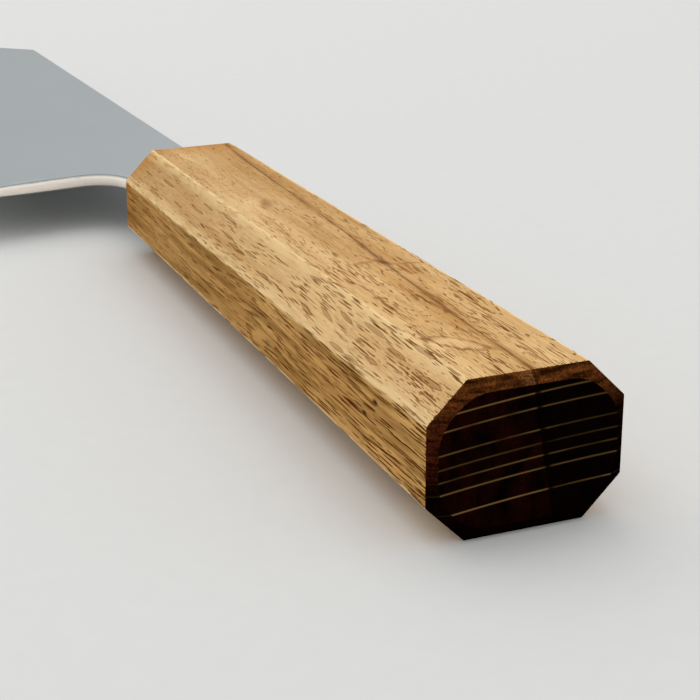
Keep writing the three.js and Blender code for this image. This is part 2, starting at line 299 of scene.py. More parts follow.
class StageLooks(bpy.types.PropertyGroup):
    """Floor, light and camera."""

    floor: colour("Floor", "Pale paper under the knife", "#d8d7d4")
    sky: colour("Room", "Soft light from all round", "#f4f6f8")
    bright_side: bpy.props.FloatVectorProperty(
        name="Bright side", description="Where the room is brightest", subtype="DIRECTION",
        default=(-0.3, -0.5, 0.81))
    room_bright: bpy.props.FloatProperty(
        name="Room light", description="Brightness of the room on its bright side", default=1.0)
    room_dim: bpy.props.FloatProperty(
        name="Room shade", description="Brightness of the room on its far side", default=0.4)
    key_power: bpy.props.FloatProperty(
        name="Key power", description="Power of the soft box", unit="POWER", default=7.0)
    key_size: length("Key size", "Width of the soft box", 1600)
    key_place: bpy.props.FloatVectorProperty(
        name="Key place", description="Middle of the soft box", subtype="TRANSLATION", unit="LENGTH",
        default=(0.5, 0.1, 1.1))
    camera_place: bpy.props.FloatVectorProperty(
        name="Camera place", description="Where the camera stands", subtype="TRANSLATION", unit="LENGTH",
        default=(-0.21228, 0.0858, 0.08632))
    camera_elevation: bpy.props.FloatProperty(
        name="Camera elevation", description="How far the camera looks down", subtype="ANGLE",
        default=math.radians(20.418))
    camera_azimuth: bpy.props.FloatProperty(
        name="Camera azimuth", description="How far the camera turns right from the handle's line",
        subtype="ANGLE", default=math.radians(22.928))
    focal_length: bpy.props.FloatProperty(
        name="Focal length", description="Lens on a 36 mm wide square frame", unit="CAMERA",
        default=87.43)


def node(tree, kind, inputs=None, out=0, **settings):
    """Add a shader node, set and link its inputs, and return one of its outputs, or itself for None."""
    made = tree.nodes.new("ShaderNode" + kind)
    for name, value in settings.items():
        setattr(made, name, value)
    for socket, value in (inputs or {}).items():
        if isinstance(value, bpy.types.NodeSocket):
            tree.links.new(value, made.inputs[socket])
        else:
            made.inputs[socket].default_value = value
    return made if out is None else made.outputs[out]


def new_material(name):
    """An empty node material and its tree."""
    material = bpy.data.materials.new(name)
    material.use_nodes = True
    material.node_tree.nodes.clear()
    return material, material.node_tree


def finish_material(tree, **inputs):
    """Close a material with its surface shader. Underscores in the names stand for spaces."""
    named = {name.replace("_", " "): value for name, value in inputs.items()}
    surface = node(tree, "BsdfPrincipled", named)
    node(tree, "OutputMaterial", {"Surface": surface}, out=None)


def place_in_mm(tree, origin=(0, 0, 0)):
    """Place in the knife's frame, in millimetres from an origin."""
    place = node(tree, "TexCoord", out="Object")
    back = -Vector(origin)
    return node(tree, "Mapping", {"Vector": place, "Location": back, "Scale": (1 / MM,) * 3})


def mottle(tree, place, size, detail):
    """A node with random shades, 0 to 1, in blotches of this many millimetres along, across and up."""
    along, across, up = size
    cells = node(tree, "Mapping", {"Vector": place, "Scale": (1 / along, 1 / across, 1 / up)})
    return node(tree, "TexNoise", {"Vector": cells, "Scale": 1.0, "Detail": detail}, out=None)


def shaken(tree, place, size, reach, detail):
    """The same place, moved to and fro over reach by shades of this size."""
    wave = mottle(tree, place, size, detail).outputs["Color"]
    back = [-part / 2 for part in reach]
    move = node(tree, "VectorMath", {0: wave, 1: reach, 2: back}, operation="MULTIPLY_ADD")
    return node(tree, "VectorMath", {0: place, 1: move}, operation="ADD")


def shade_range(tree, place, size, low, high, least=0.0, most=1.0, detail=2.0):
    """A value that goes from least to most as random shades go from low to high."""
    shade = mottle(tree, place, size, detail).outputs["Fac"]
    return node(tree, "MapRange", {
        "Value": shade, "From Min": low, "From Max": high, "To Min": least, "To Max": most})


def nearness(tree, distance, full, gone, most=1.0):
    """Share by which a place belongs to a mark: at its most up to full, and nothing from gone on."""
    return node(tree, "MapRange", {
        "Value": distance, "From Min": full, "From Max": gone, "To Min": most, "To Max": 0.0})


def facing(tree, axis, low=0.0, high=1.0):
    """Share, 0 to 1, by which the surface faces along an axis of the knife, either way."""
    normal = node(tree, "TexCoord", out="Normal")
    part = node(tree, "SeparateXYZ", {0: normal}, out=axis)
    size = node(tree, "Math", {0: part}, operation="ABSOLUTE")
    return node(tree, "MapRange", {"Value": size, "From Min": low, "From Max": high})


def level_curve(tree, value, span, levels):
    """A value that follows (place, level) pairs between -span and span."""
    share = node(tree, "MapRange", {"Value": value, "From Min": -span, "From Max": span})
    curve = node(tree, "ValToRGB", {0: share}, out="Color")
    stops = curve.node.color_ramp.elements
    stops.remove(stops[1])
    stops[0].position = 0
    stops[0].color = (levels[0][1],) * 3 + (1,)
    for place, level in levels:
        stops.new((place + span) / (2 * span)).color = (level,) * 3 + (1,)
    return curve


def towards_front(tree, grain, share):
    """A factor that goes from 1 near the butt down to a share near the front."""
    x = node(tree, "SeparateXYZ", {0: grain}, out="X")
    start, end = FRONT_STRETCH
    return node(tree, "MapRange", {
        "Value": x, "From Min": start, "From Max": end, "To Min": 1.0, "To Max": share})


def edge_distance(tree, place):
    """Distance of a place on the surface from the nearest of the handle's eight long edges."""
    x, y, z = node(tree, "SeparateXYZ", {0: place}, out=None).outputs
    half_butt = HANDLE_HIGH.y / MM
    half_across = node(tree, "Math", {0: x, 1: -TAPER_ACROSS, 2: half_butt}, operation="MULTIPLY_ADD")
    half_up = node(tree, "Math", {0: x, 1: -TAPER_UP, 2: GRAIN_ORIGIN.z}, operation="MULTIPLY_ADD")
    across = node(tree, "Math", {0: y}, operation="ABSOLUTE")
    level = node(tree, "Math", {0: x, 1: TAPER_UP, 2: z}, operation="MULTIPLY_ADD")
    up = node(tree, "Math", {0: level}, operation="ABSOLUTE")
    from_side = node(tree, "Math", {0: half_across, 1: across}, operation="SUBTRACT")
    from_top = node(tree, "Math", {0: half_up, 1: up}, operation="SUBTRACT")
    both = node(tree, "Math", {0: from_side, 1: from_top}, operation="ADD")
    past_leg = node(tree, "Math", {0: both, 1: FACET_LEG}, operation="SUBTRACT")
    from_facet = node(tree, "Math", {0: past_leg, 1: math.sqrt(2)}, operation="DIVIDE")
    # One depth is 0 on the surface, so the second smallest of the three leads to the nearest edge.
    least = node(tree, "Math", {0: from_side, 1: from_top}, operation="MINIMUM")
    most = node(tree, "Math", {0: from_side, 1: from_top}, operation="MAXIMUM")
    lesser = node(tree, "Math", {0: most, 1: from_facet}, operation="MINIMUM")
    middle = node(tree, "Math", {0: least, 1: lesser}, operation="MAXIMUM")
    return node(tree, "Math", {0: middle, 1: math.sqrt(2)}, operation="MULTIPLY")


def ray_height(tree, place):
    """Height above the sheet of rays through the middle of the butt."""
    y, z = node(tree, "SeparateXYZ", {0: place}, out=None).outputs[1:]
    slope = node(tree, "Math", {0: y, 1: RAY_BOW, 2: RAY_TILT}, operation="MULTIPLY_ADD")
    return node(tree, "Math", {0: y, 1: slope, 2: z}, operation="MULTIPLY_ADD")


def growth_offset(tree, place):
    """Distance across the growth bands from the dark growth line."""
    x, y, z = node(tree, "SeparateXYZ", {0: place}, out=None).outputs
    drifted = node(tree, "Math", {0: x, 1: -GROWTH_DRIFT, 2: y}, operation="MULTIPLY_ADD")
    below = node(tree, "Math", {0: GRAIN_ORIGIN.z, 1: z}, operation="SUBTRACT")
    leaned = node(tree, "Math", {0: below, 1: GROWTH_LEAN, 2: drifted}, operation="MULTIPLY_ADD")
    return node(tree, "Math", {0: leaned, 1: GROWTH_START}, operation="SUBTRACT")


def oval_distance(tree, local):
    """Distance from the middle of an oval, which is 1 at its outline."""
    return node(tree, "VectorMath", {0: local}, out="Value", operation="LENGTH")


def lens_distance(tree, local):
    """Distance from the middle of a lens with two pointed ends, which is 1 at its outline."""
    x, y = node(tree, "SeparateXYZ", {0: local}, out=None).outputs[:2]
    beside = node(tree, "Math", {0: y}, operation="ABSOLUTE")
    return node(tree, "Math", {0: x, 1: x, 2: beside}, operation="MULTIPLY_ADD")


def nearest_mark(tree, place, marks, distance=oval_distance):
    """Distance from the nearest of some marks, which is 1 at its outline."""
    nearest = ENDLESS
    for middle, turn, half_sizes in marks:
        rotation = (0, 0, math.radians(turn))
        local = node(tree, "Mapping", {
            "Vector": place, "Location": middle, "Rotation": rotation, "Scale": half_sizes},
            vector_type="TEXTURE")
        nearest = node(tree, "Math", {0: distance(tree, local), 1: nearest}, operation="MINIMUM")
    return nearest


def soft_marks(tree, place, marks, most):
    """Share of some oval marks that fade out towards their outlines."""
    return nearness(tree, nearest_mark(tree, place, marks), full=0.3, gone=1.1, most=most)


def outlined_marks(tree, distance, fill, line, half_line):
    """Shares of some marks and of the thin lines that ring them, by the distance from the marks."""
    inside = nearness(tree, distance, full=0.5, gone=0.95, most=fill)
    outline = node(tree, "Math", {0: distance, 1: 1.0, 2: half_line}, operation="COMPARE")
    return inside, node(tree, "Math", {0: outline, 1: line}, operation="MULTIPLY")


def ray_fleck(tree, place):
    """The pale fleck on the upper side and the thin brown line that rings it."""
    upper = facing(tree, *FLAT_LEVEL)
    distance = nearest_mark(tree, place, FLECKS)
    parts = outlined_marks(tree, distance, fill=0.65, line=0.4, half_line=0.13)
    return [node(tree, "Math", {0: part, 1: upper}, operation="MULTIPLY") for part in parts]


def ray_lenses(tree, place):
    """Slim brown lenses on the slanted left side and the thin lines that ring them."""
    x, y, z = node(tree, "SeparateXYZ", {0: shaken(tree, place, **FRAYED)}, out=None).outputs
    down = node(tree, "Math", {0: y, 1: z}, operation="SUBTRACT")
    across = node(tree, "Math", {0: down, 1: math.sqrt(2)}, operation="DIVIDE")
    on_side = node(tree, "CombineXYZ", {"X": x, "Y": across})
    distance = nearest_mark(tree, on_side, RAY_LENSES, lens_distance)
    return outlined_marks(tree, distance, fill=0.42, line=0.62, half_line=0.22)


def ray_spindles(tree, grain, looks):
    """Slim brown lenses, darkest at their rims, where the sides cut across the rays."""
    x = node(tree, "SeparateXYZ", {0: grain}, out="X")
    height = ray_height(tree, grain)
    along = node(tree, "Math", {0: x, 1: looks.spindle_along / MM}, operation="DIVIDE")
    across = node(tree, "Math", {0: height, 1: looks.spindle_across / MM}, operation="DIVIDE")
    cell = node(tree, "CombineXYZ", {"X": along, "Y": across})
    lens = node(tree, "TexVoronoi", {"Vector": cell, "Scale": 1.0, "Exponent": SPINDLE_POINT}, out=None,
                voronoi_dimensions="2D", distance="MINKOWSKI")
    smallest, largest = SPINDLE_SIZES
    size = node(tree, "MapRange", {
        "Value": lens.outputs["Color"], "From Min": 0.42, "To Min": smallest, "To Max": largest})
    share = node(tree, "Math", {0: lens.outputs["Distance"], 1: size}, operation="DIVIDE")
    inside = nearness(tree, share, full=0.88, gone=1.05)
    rim = node(tree, "MapRange", {
        "Value": share, "From Min": 0.5, "From Max": 0.85, "To Min": 0.4, "To Max": 0.9})
    body = node(tree, "Math", {0: inside, 1: rim}, operation="MULTIPLY")
    on_sides = node(tree, "Math", {0: body, 1: facing(tree, *SLANTED_OR_UPRIGHT)}, operation="MULTIPLY")
    # Near the butt the slanted sides leave room for the lenses that have a place of their own.
    start, end = PAST_LENSES
    past_lenses = node(tree, "MapRange", {"Value": x, "From Min": start, "From Max": end, "To Min": 0.25})
    shown = node(tree, "Math", {0: facing(tree, *UPRIGHT), 1: past_lenses}, operation="MAXIMUM")
    return node(tree, "Math", {0: on_sides, 1: shown}, operation="MULTIPLY")


def dashes(tree, grain, along, across, crowd):
    """Dark dashes of open pores, one to a cell, larger where they crowd and finer towards the front."""
    coarse = towards_front(tree, grain, FRONT_PORES)
    radius = node(tree, "Math", {0: crowd, 1: coarse}, operation="MULTIPLY")
    size = (MM / along, MM / across, MM / across)
    cells = node(tree, "Mapping", {"Vector": grain, "Scale": size})
    distance = node(tree, "TexVoronoi", {"Vector": cells, "Scale": 1.0}, out="Distance")
    depth = node(tree, "Math", {0: radius, 1: distance}, operation="SUBTRACT")
    return node(tree, "MapRange", {"Value": depth, "From Min": 0.0, "From Max": DASH_SOFTNESS})


def vessels(tree, grain, looks):
    """Strokes of pores on the two upright sides, close together and in line with the grain."""
    thick = shade_range(tree, grain, (9, 1.2, 1.2), low=0.25, high=0.5, most=0.46)
    crowd = node(tree, "Math", {0: thick, 1: facing(tree, *UPRIGHT)}, operation="MULTIPLY")
    return dashes(tree, grain, looks.vessel_along, looks.vessel_across, crowd)


def slant_vessels(tree, grain, looks):
    """Dashes in patches, where the slanted and upper sides cut through the vessels at a slant."""
    some = shade_range(tree, grain, (12, 2.2, 2.2), low=0.34, high=0.56, most=0.46)
    not_upright = node(tree, "Math", {0: 1.0, 1: facing(tree, *UPRIGHT)}, operation="SUBTRACT")
    crowd = node(tree, "Math", {0: some, 1: not_upright}, operation="MULTIPLY")
    return dashes(tree, grain, looks.dash_along, looks.dash_across, crowd)


def specks(tree, grain, looks):
    """Short dashes, strung along wavering lines on the level sides and crowded near the butt."""
    hills = mottle(tree, grain, (15, 5, 9), detail=1.0).outputs["Fac"]
    steps = node(tree, "Math", {0: hills, 1: SPECK_CONTOURS}, operation="MULTIPLY")
    wave = node(tree, "Math", {0: steps, 1: 0.5}, operation="PINGPONG")
    line = node(tree, "MapRange", {"Value": wave, "From Min": 0.28, "From Max": 0.42, "To Max": 0.44})
    strung = node(tree, "Math", {0: line, 1: facing(tree, *LEVEL)}, operation="MULTIPLY")
    close = soft_marks(tree, grain, CROWDED_PORES, most=0.37)
    crowd = node(tree, "Math", {0: strung, 1: close}, operation="MAXIMUM")
    return dashes(tree, grain, looks.speck_along, looks.speck_across, crowd)


def open_pores(tree, grain, frayed, fleck, looks):
    """Shares of the oil-stained pores, of the strokes of the upright sides, and of both together."""
    strokes = vessels(tree, frayed, looks)
    short = specks(tree, frayed, looks)
    slanted = slant_vessels(tree, frayed, looks)
    marks = node(tree, "Math", {0: short, 1: slanted}, operation="MAXIMUM")
    off_fleck = node(tree, "Math", {0: 1.0, 1: fleck}, operation="SUBTRACT")
    marks = node(tree, "Math", {0: marks, 1: off_fleck}, operation="MULTIPLY")
    oil_taken = shade_range(tree, grain, (5, 0.5, 0.5), low=0.35, high=0.6, least=0.6, detail=1.0)
    stain = node(tree, "Math", {0: marks, 1: oil_taken}, operation="MULTIPLY")
    pores = node(tree, "Math", {0: marks, 1: strokes}, operation="MAXIMUM")
    return stain, strokes, pores


def streaks(tree, grain):
    """Soft brown streaks along the two upright sides, between the strokes of pores."""
    lines = shade_range(tree, grain, (14, 0.9, 0.9), low=0.4, high=0.65, most=0.65, detail=3.0)
    return node(tree, "Math", {0: lines, 1: facing(tree, *UPRIGHT)}, operation="MULTIPLY")


def growth_line(tree, offset, grain):
    """The growth line along the handle: a soft band, and a thin dark core that comes and goes."""
    distance = node(tree, "Math", {0: offset}, operation="ABSOLUTE")
    shares = []
    for half_width, size, low, high in GROWTH_PARTS:
        near = nearness(tree, distance, full=GROWTH_FULL * half_width, gone=half_width, most=0.8)
        shown = shade_range(tree, grain, size, low, high)
        shares.append(node(tree, "Math", {0: near, 1: shown}, operation="MULTIPLY"))
    return shares


def rubbed_and_highlit_edges(tree, place, grain):
    """Share of pale edges, partly rubbed pale and partly painted highlight: a ragged pale line on the long
    edges and a wider pale zone on the slanted sides.
    """
    distance = edge_distance(tree, place)
    slanted = level_curve(tree, facing(tree, "Y"), FACING_SPAN, SLANTED_SIDES)
    line = nearness(tree, distance, full=0.1, gone=0.4, most=0.95)
    zone = nearness(tree, distance, full=0.5, gone=1.8, most=0.6)
    slanted_zone = node(tree, "Math", {0: zone, 1: slanted}, operation="MULTIPLY")
    pale_edges = node(tree, "Math", {0: line, 1: slanted_zone}, operation="MAXIMUM")
    patchy = shade_range(tree, grain, (5, 0.7, 0.7), low=0.32, high=0.52, detail=3.0)
    return node(tree, "Math", {0: pale_edges, 1: patchy}, operation="MULTIPLY")


def handle_ends(tree, place, ragged):
    """Shares of the warmer wood beside the blade and of the oil that creeps in from the butt."""
    along = node(tree, "SeparateXYZ", {0: ragged}, out="X")
    start, end = WARM_STRETCH
    warm = node(tree, "MapRange", {"Value": along, "From Min": start, "From Max": end, "To Max": 0.5})
    from_butt = node(tree, "SeparateXYZ", {0: shaken(tree, place, **SPLINTERED)}, out="X")
    return warm, nearness(tree, from_butt, full=0.75, gone=0.95, most=0.9)


def oak_ground(tree, grain, offset, looks):
    """Colour of the oak between its marks: pale and deep growth bands, crossed by fine fibres."""
    bands = level_curve(tree, offset, BAND_SPAN, GROWTH_BANDS)
    cloud = shade_range(tree, grain, (30, 2.2, 4), low=0.0, high=1.0, least=-0.7, most=0.7, detail=3.0)
    cloudy = node(tree, "Math", {0: cloud, 1: bands}, operation="ADD")
    side_tone = level_curve(tree, facing(tree, "Y"), FACING_SPAN, SIDE_TONES)
    share = node(tree, "Math", {0: cloudy, 1: side_tone}, operation="ADD", use_clamp=True)
    golden = node(tree, "Math", {0: facing(tree, *UPRIGHT), 1: UPRIGHT_GOLD}, operation="MULTIPLY")
    pale = node(tree, "Mix", {0: golden, MIX_A: looks.pale, MIX_B: looks.gold}, **COLOUR_MIX)
    wood = node(tree, "Mix", {0: share, MIX_A: pale, MIX_B: looks.deep}, **COLOUR_MIX)
    shades = [towards_front(tree, grain, FRONT_LIGHT)]
    for size, least, most in FIBRES:
        shades.append(shade_range(tree, grain, size, low=0.25, high=0.75, least=least, most=most))
    for shade in shades:
        wood = node(tree, "VectorMath", {0: wood, "Scale": shade}, operation="SCALE")
    return wood


def oiled_oak_long_grain(looks):
    """Oak planed along its fibres and oiled: golden tan fibres, brown ray lenses and open dark pores."""
    material, tree = new_material("oiled_oak_long_grain")
    place = place_in_mm(tree, GRAIN_ORIGIN)
    grain = shaken(tree, place, **WAVING)
    frayed = shaken(tree, grain, **FRAYED)
    ragged = shaken(tree, place, **RAGGED)
    offset = growth_offset(tree, grain)
    warm_front, oily_butt = handle_ends(tree, place, ragged)
    fleck, fleck_line = ray_fleck(tree, ragged)
    soft_band, dark_core = growth_line(tree, offset, grain)
    spindles = ray_spindles(tree, frayed, looks)
    lenses, lens_lines = ray_lenses(tree, place)
    stain, strokes, pores = open_pores(tree, grain, frayed, fleck, looks)
    layers = (
        (warm_front, looks.front),
        (soft_marks(tree, ragged, BENT_FIBRES, most=0.6), looks.band),
        (soft_band, looks.band),
        (soft_marks(tree, ragged, PALE_PATCHES, most=0.7), looks.fleck),
        (fleck, looks.fleck),
        (fleck_line, looks.spindle),
        (dark_core, looks.growth),
        (streaks(tree, frayed), looks.spindle),
        (spindles, looks.spindle),
        # Pale edges: partly rubbed pale, partly painted highlight.
        (rubbed_and_highlit_edges(tree, place, frayed), looks.rubbed_and_highlight),
        (lenses, looks.vessel),
        (lens_lines, looks.vessel),
        (soft_marks(tree, frayed, LONG_VESSELS, most=0.8), looks.vessel),
        (stain, looks.vessel),
        (strokes, looks.stroke),
        (soft_marks(tree, frayed, GROWTH_KNOT, most=0.85), looks.growth),
        (soft_marks(tree, place, PIN_KNOTS, most=1.0), looks.knot),
        (oily_butt, looks.rim),
    )
    wood = oak_ground(tree, grain, offset, looks)
    for amount, tint in layers:
        wood = node(tree, "Mix", {0: amount, MIX_A: wood, MIX_B: tint}, **COLOUR_MIX)
    depth = node(tree, "Math", {0: spindles, 1: 0.3, 2: pores}, operation="MULTIPLY_ADD")
    relief = node(tree, "Bump", {"Strength": 0.4, "Distance": PORE_DEPTH, "Height": depth}, invert=True)
    rough = node(tree, "MapRange", {"Value": depth, "To Min": 0.55, "To Max": 0.8})
    finish_material(tree, Base_Color=wood, Roughness=rough, Specular_IOR_Level=0.01, Normal=relief)
    return material


def ray_lines(tree, place, offset):
    """Thin light lines where the rays run out at the butt, broken beside the growth line."""
    levels = []
    for middle, strength in RAYS:
        levels += [(middle - RAY_HALF_WIDTH, 0), (middle, strength), (middle + RAY_HALF_WIDTH, 0)]
    lines = level_curve(tree, ray_height(tree, place), RAY_SPAN, levels)
    seen = shade_range(tree, place, (ENDLESS, 6, 1.2), low=0.25, high=0.55)
    unbroken = level_curve(tree, offset, RAY_BREAK_SPAN, RAY_BREAK)
    kept = node(tree, "Math", {0: seen, 1: unbroken}, operation="MULTIPLY")
    return node(tree, "Math", {0: lines, 1: kept}, operation="MULTIPLY")


def butt_face(tree, place, offset, looks):
    """Colour of the butt's face: oil-dark end grain painted almost black as painted shade, with warmer
    growth bands on the cutting edge's side.
    """
    bands = shade_range(tree, place, (ENDLESS, 2.2, 4), low=0.35, high=0.65, detail=3.0)
    edge_side = node(tree, "MapRange", {
        "Value": offset, "From Min": 0.0, "From Max": 0.4, "To Min": 0.15})
    red = node(tree, "Math", {0: bands, 1: edge_side}, operation="MULTIPLY")
    return node(tree, "Mix", {0: red, MIX_A: looks.end_grain_and_painted_shade, MIX_B: looks.end_red}, **COLOUR_MIX)


def butt_rim(tree, place, offset, looks):
    """Colour of the bevel round the butt: brown above, and painted shade below that darkens it downwards
    and towards the spine side.
    """
    y, z = node(tree, "SeparateXYZ", {0: place}, out=None).outputs[1:]
    # Painted shade: below its top the bevel takes a darker colour, darker still towards the bottom and the
    # spine side.
    upper = node(tree, "MapRange", {"Value": z, "From Min": 3.5, "From Max": 9.0})
    above = node(tree, "MapRange", {"Value": z, "From Min": -3.2, "From Max": 3.2, "To Min": 0.05})
    off_spine = node(tree, "MapRange", {"Value": y, "From Min": -11.0, "From Max": -8.0, "To Min": 0.1})
    painted_shade_factor = node(tree, "Math", {0: above, 1: off_spine}, operation="MULTIPLY")
    painted_shade_rim = node(tree, "VectorMath", {0: looks.rim_in_painted_shade[:3], "Scale": painted_shade_factor}, operation="SCALE")
    rim = node(tree, "Mix", {0: upper, MIX_A: painted_shade_rim, MIX_B: looks.rim}, **COLOUR_MIX)
    sheets = shade_range(
        tree, place, (ENDLESS, 4, 0.7), low=0.36, high=0.64, least=0.3, most=1.9, detail=3.0)
    notch = level_curve(tree, offset, RIM_SPAN, RIM_NOTCH)
    for shade in (sheets, notch):
        rim = node(tree, "VectorMath", {0: rim, "Scale": shade}, operation="SCALE")
    beside = level_curve(tree, offset, RIM_SPAN, RIM_PATCH)
    patch = node(tree, "Math", {0: beside, 1: upper}, operation="MULTIPLY")
    return node(tree, "Mix", {0: patch, MIX_A: rim, MIX_B: looks.band}, **COLOUR_MIX)


def oiled_oak_end_grain(looks):
    """Oak sawn across its fibres: oil-dark, and painted almost black as painted shade, crossed by light
    rays.
    """
    material, tree = new_material("oiled_oak_end_grain")
    place = place_in_mm(tree, GRAIN_ORIGIN)
    offset = growth_offset(tree, place)
    square = facing(tree, *SQUARE_END)
    face = butt_face(tree, place, offset, looks)
    rim = butt_rim(tree, place, offset, looks)
    wood = node(tree, "Mix", {0: square, MIX_A: rim, MIX_B: face}, **COLOUR_MIX)
    speck = mottle(tree, place, (0.9, 0.2, 0.2), detail=2.0).outputs["Fac"]
    pitted = node(tree, "MapRange", {
        "Value": speck, "From Min": 0.36, "From Max": 0.64, "To Min": 0.5, "To Max": 1.5})
    wood = node(tree, "VectorMath", {0: wood, "Scale": pitted}, operation="SCALE")
    clear = node(tree, "MapRange", {"Value": square, "To Min": 0.12})
    lines = node(tree, "Math", {0: ray_lines(tree, place, offset), 1: clear}, operation="MULTIPLY")
    wood = node(tree, "Mix", {0: lines, MIX_A: wood, MIX_B: looks.ray}, **COLOUR_MIX)
    relief = node(tree, "Bump", {"Strength": 0.4, "Distance": END_PORE_DEPTH, "Height": speck})
    finish_material(tree, Base_Color=wood, Roughness=0.7, Specular_IOR_Level=0.0, Normal=relief)
    return material


def satin_steel(looks):
    """Stainless steel ground on a fine belt from spine to edge: an even soft grey with faint hairlines."""
    material, tree = new_material("belt_satin_stainless_steel")
    place = place_in_mm(tree)
    hair = mottle(tree, place, (looks.hairline / MM, 40, 40), detail=3.0).outputs["Fac"]
    clouds = mottle(tree, place, (30, 30, 30), detail=2.0).outputs["Fac"]
    mixed = node(tree, "Math", {0: hair, 1: 0.6, 2: clouds}, operation="MULTIPLY_ADD")
    rough = node(tree, "MapRange", {
        "Value": mixed, "From Min": 0.4, "From Max": 1.2, "To Min": 0.3, "To Max": 0.42})
    bright = node(tree, "MapRange", {"Value": hair, "To Min": 0.94, "To Max": 1.05})
    steel = node(tree, "VectorMath", {0: looks.satin[:3], "Scale": bright}, operation="SCALE")
    relief = node(tree, "Bump", {"Strength": 0.15, "Distance": HAIRLINE_DEPTH, "Height": hair})
    finish_material(tree, Base_Color=steel, Metallic=1.0, Roughness=rough, Normal=relief)
    return material


def rounded_steel(looks):
    """Stainless steel rounded over on a slack belt, painted near white as a painted reflection where it
    faces sideways, and grey beside the satin sides where it turns up.
    """
    material, tree = new_material("slack_belt_stainless_steel")
    # Painted reflection: near white where the rounding faces sideways, satin grey where it turns up.
    turned = facing(tree, *TURNED_OVER)
    steel_with_painted_reflection = node(tree, "Mix", {0: turned, MIX_A: looks.rounded, MIX_B: looks.satin}, **COLOUR_MIX)
    scratches = mottle(tree, place_in_mm(tree), (0.8, 0.8, 0.8), detail=4.0).outputs["Fac"]
    rough = node(tree, "MapRange", {"Value": scratches, "To Min": 0.94, "To Max": 1.0})
    bright = node(tree, "MapRange", {"Value": scratches, "To Min": 0.97, "To Max": 1.02})
    steel = node(tree, "VectorMath", {0: steel_with_painted_reflection, "Scale": bright}, operation="SCALE")
    finish_material(tree, Base_Color=steel, Metallic=1.0, Roughness=rough)
    return material


def honed_steel(looks):
    """The cutting bevel off the stones: bright, with fine scratches across the edge."""
    material, tree = new_material("stone_honed_stainless_steel")
    scratch = mottle(tree, place_in_mm(tree), (0.25, 4, 4), detail=2.0).outputs["Fac"]
    rough = node(tree, "MapRange", {"Value": scratch, "To Min": 0.16, "To Max": 0.34})
    bright = node(tree, "MapRange", {"Value": scratch, "To Min": 0.93, "To Max": 1.04})
    steel = node(tree, "VectorMath", {0: looks.honed[:3], "Scale": bright}, operation="SCALE")
    finish_material(tree, Base_Color=steel, Metallic=1.0, Roughness=rough)
    return material


def cast_epoxy(looks):
    """Epoxy tinted with wood dust and cast in the slot: dark, glossy and slightly cloudy."""
    material, tree = new_material("cast_dusted_epoxy")
    dust = mottle(tree, place_in_mm(tree), (0.6, 0.6, 0.6), detail=3.0).outputs["Fac"]
    bright = node(tree, "MapRange", {"Value": dust, "To Min": 0.7, "To Max": 1.3})
    body = node(tree, "VectorMath", {0: looks.body[:3], "Scale": bright}, operation="SCALE")
    rough = node(tree, "MapRange", {"Value": dust, "To Min": 0.2, "To Max": 0.35})
    finish_material(tree, Base_Color=body, Roughness=rough)
    return material


def seamless_paper(looks):
    """Pale matt studio paper with a faint mottle."""
    material, tree = new_material("seamless_paper")
    fibres = mottle(tree, place_in_mm(tree), (3, 3, 3), detail=3.0).outputs["Fac"]
    bright = node(tree, "MapRange", {"Value": fibres, "To Min": 0.98, "To Max": 1.02})
    paper = node(tree, "VectorMath", {0: looks.floor[:3], "Scale": bright}, operation="SCALE")
    finish_material(tree, Base_Color=paper, Roughness=0.9, Specular_IOR_Level=0.2)
    return material


def shape_of(name):
    """The CAD node's shape as an editable mesh, with its corners welded and its flat faces joined."""
    shape = bmesh.new()
    shape.from_mesh(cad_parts[name].data)
    bmesh.ops.remove_doubles(shape, verts=shape.verts, dist=WELD)
    bmesh.ops.dissolve_limit(shape, angle_limit=FLAT_ANGLE, verts=shape.verts, edges=shape.edges)
    shape.normal_update()
    return shape


def round_off(shape, edges, width):
    """Turn sharp edges into small rounds."""
    bmesh.ops.bevel(
        shape, geom=edges, offset=width, segments=ROUND_STEPS, profile=ROUND_PROFILE, affect="EDGES",
        clamp_overlap=False)
    shape.normal_update()


def steel_of(face):
    """Which of the blade's steels a face has, by how level the face lies."""
    level = abs(face.normal.z)
    if level < ROUNDED_BELOW:
        return ROUNDED
    if level < HONED_BELOW:
        return HONED
    return SATIN


def make_piece(shape, name, stands_for, materials, sharp_angle):
    """Turn the edited shape into a piece that takes its node's place."""
    mesh = bpy.data.meshes.new(name)
    shape.to_mesh(mesh)
    shape.free()
    for material in materials:
        mesh.materials.append(material)
    mesh.shade_smooth()
    mesh.set_sharp_from_angle(angle=sharp_angle)
    piece = bpy.data.objects.new(name, mesh)
    bpy.context.scene.collection.objects.link(piece)
    piece.modifiers.new("large_faces_stay_flat", "WEIGHTED_NORMAL").keep_sharp = True
    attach(piece, "root")
    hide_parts(stands_for)


class KNIFE_OT_blade(bpy.types.Operator):
    """Make the blade with satin sides, rounded spine and choil, and honed edge"""

    bl_idname = "knife.make_blade"
    bl_label = "Make blade"

    def execute(self, context):
        looks = context.scene.knife_blade
        shape = shape_of("blade")
        for face in shape.faces:
            face.material_index = steel_of(face)
        materials = [satin_steel(looks), rounded_steel(looks), honed_steel(looks)]
        make_piece(shape, "ground_blade", "blade", materials, STEEL_SHARP_ANGLE)
        return {"FINISHED"}


class KNIFE_OT_handle(bpy.types.Operator):
    """Make the one-piece oak handle with long grain on its sides and end grain at its ends"""

    bl_idname = "knife.make_handle"
    bl_label = "Make handle"

    def execute(self, context):
        looks = context.scene.knife_handle
        shape = shape_of("handle")
        rims = [edge for edge in shape.edges if edge.calc_face_angle(0) > WOOD_SHARP_ANGLE]
        round_off(shape, rims, looks.rounding)
        for face in shape.faces:
            face.material_index = END_GRAIN if abs(face.normal.x) > END_GRAIN_ABOVE else LONG_GRAIN
        materials = [oiled_oak_long_grain(looks), oiled_oak_end_grain(looks)]
        make_piece(shape, "oak_handle", "handle", materials, WOOD_SHARP_ANGLE)
        return {"FINISHED"}


